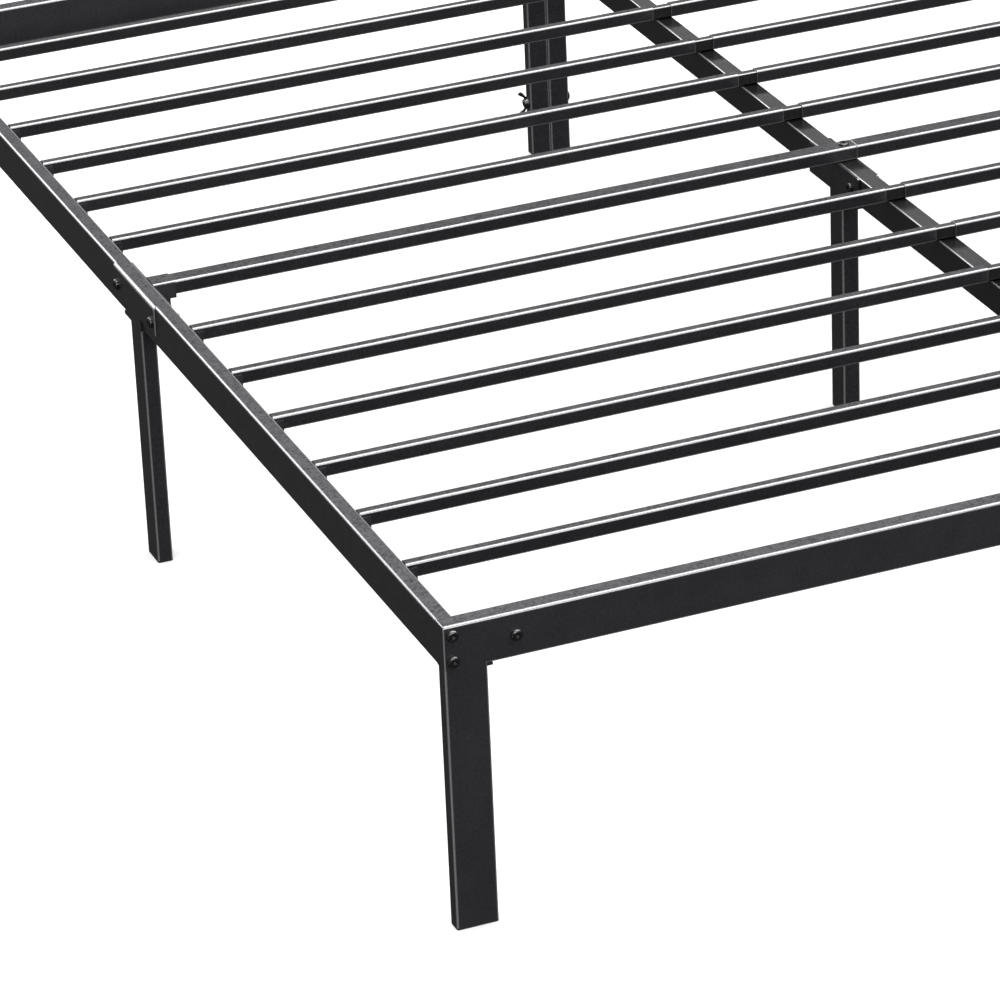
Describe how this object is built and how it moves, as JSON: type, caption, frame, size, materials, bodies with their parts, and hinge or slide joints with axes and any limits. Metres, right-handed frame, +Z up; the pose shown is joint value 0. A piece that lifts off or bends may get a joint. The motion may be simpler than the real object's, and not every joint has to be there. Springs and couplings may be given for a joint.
{
  "type": "metal bed frame",
  "caption": "Low platform bed frame of black steel tube, bolted together from half rails, half slats and tube legs, to carry a mattress off the floor.",
  "frame": {"origin": "on the floor under the middle of the frame", "axes": "+X across the bed to the right seen from the foot, +Y from the foot rail to the head rail, +Z up"},
  "size_m": [1.944, 2.041, 0.3779],
  "materials": {
    "rail_steel": "satin black powder coat with a fine orange peel",
    "slat_steel": "satin black powder coat",
    "leg_steel": "satin black powder coat",
    "bracket_steel": "satin black powder coat on folded sheet",
    "black_plastic": "moulded matt black plastic",
    "bolt_steel": "black oxide, slightly glossy",
    "nut_steel": "black oxide",
    "wing_nut_steel": "black oxide on cast steel"
  },
  "bodies": {
    "frame": {"beam_and_crossbar_bolts": "bolt_steel", "beam_end_plates": "bracket_steel", "carriage_bolts": "bolt_steel", "centre_beam_foot": "rail_steel", "centre_beam_head": "rail_steel", "centre_leg": "leg_steel", "corner_brackets": "bracket_steel", "corner_leg_foot_left": "leg_steel", "corner_leg_foot_right": "leg_steel", "corner_leg_head_left": "leg_steel", "corner_leg_head_right": "leg_steel", "crossbar_bracket_left": "bracket_steel", "crossbar_bracket_right": "bracket_steel", "crossbar_left": "slat_steel", "crossbar_right": "slat_steel", "end_leg_foot_left": "leg_steel", "end_leg_foot_right": "leg_steel", "end_leg_head_left": "leg_steel", "end_leg_head_right": "leg_steel", "end_rail_caps": "rail_steel", "foot_rail_left": "rail_steel", "foot_rail_right": "rail_steel", "frame_bolts": "bolt_steel", "frame_nuts": "nut_steel", "head_rail_left": "rail_steel", "head_rail_right": "rail_steel", "leg_glides": "black_plastic", "middle_leg_left": "leg_steel", "middle_leg_right": "leg_steel", "side_rail_left_foot": "rail_steel", "side_rail_left_head": "rail_steel", "side_rail_right_foot": "rail_steel", "side_rail_right_head": "rail_steel", "slat_01_left": "slat_steel", "slat_01_right": "slat_steel", "slat_02_left": "slat_steel", "slat_02_right": "slat_steel", "slat_03_left": "slat_steel", "slat_03_right": "slat_steel", "slat_04_left": "slat_steel", "slat_04_right": "slat_steel", "slat_05_left": "slat_steel", "slat_05_right": "slat_steel", "slat_06_left": "slat_steel", "slat_06_right": "slat_steel", "slat_07_left": "slat_steel", "slat_07_right": "slat_steel", "slat_08_left": "slat_steel", "slat_08_right": "slat_steel", "slat_09_left": "slat_steel", "slat_09_right": "slat_steel", "slat_10_left": "slat_steel", "slat_10_right": "slat_steel", "slat_11_left": "slat_steel", "slat_11_right": "slat_steel", "slat_12_left": "slat_steel", "slat_12_right": "slat_steel", "slat_sockets": "bracket_steel"},
    "wing_nut_foot": {"wing_nut_foot": "wing_nut_steel"},
    "wing_nut_head": {"wing_nut_head": "wing_nut_steel"}
  },
  "joints": [
    {"name": "wing_nut_foot_turn", "type": "hinge", "parent": "frame", "child": "wing_nut_foot", "pos_m": [-0.0309, -1.00675, 0.081], "axis": [-1, 0, 0], "continuous": true},
    {"name": "wing_nut_head_turn", "type": "hinge", "parent": "frame", "child": "wing_nut_head", "pos_m": [-0.0309, 1.00675, 0.081], "axis": [-1, 0, 0], "continuous": true}
  ]
}
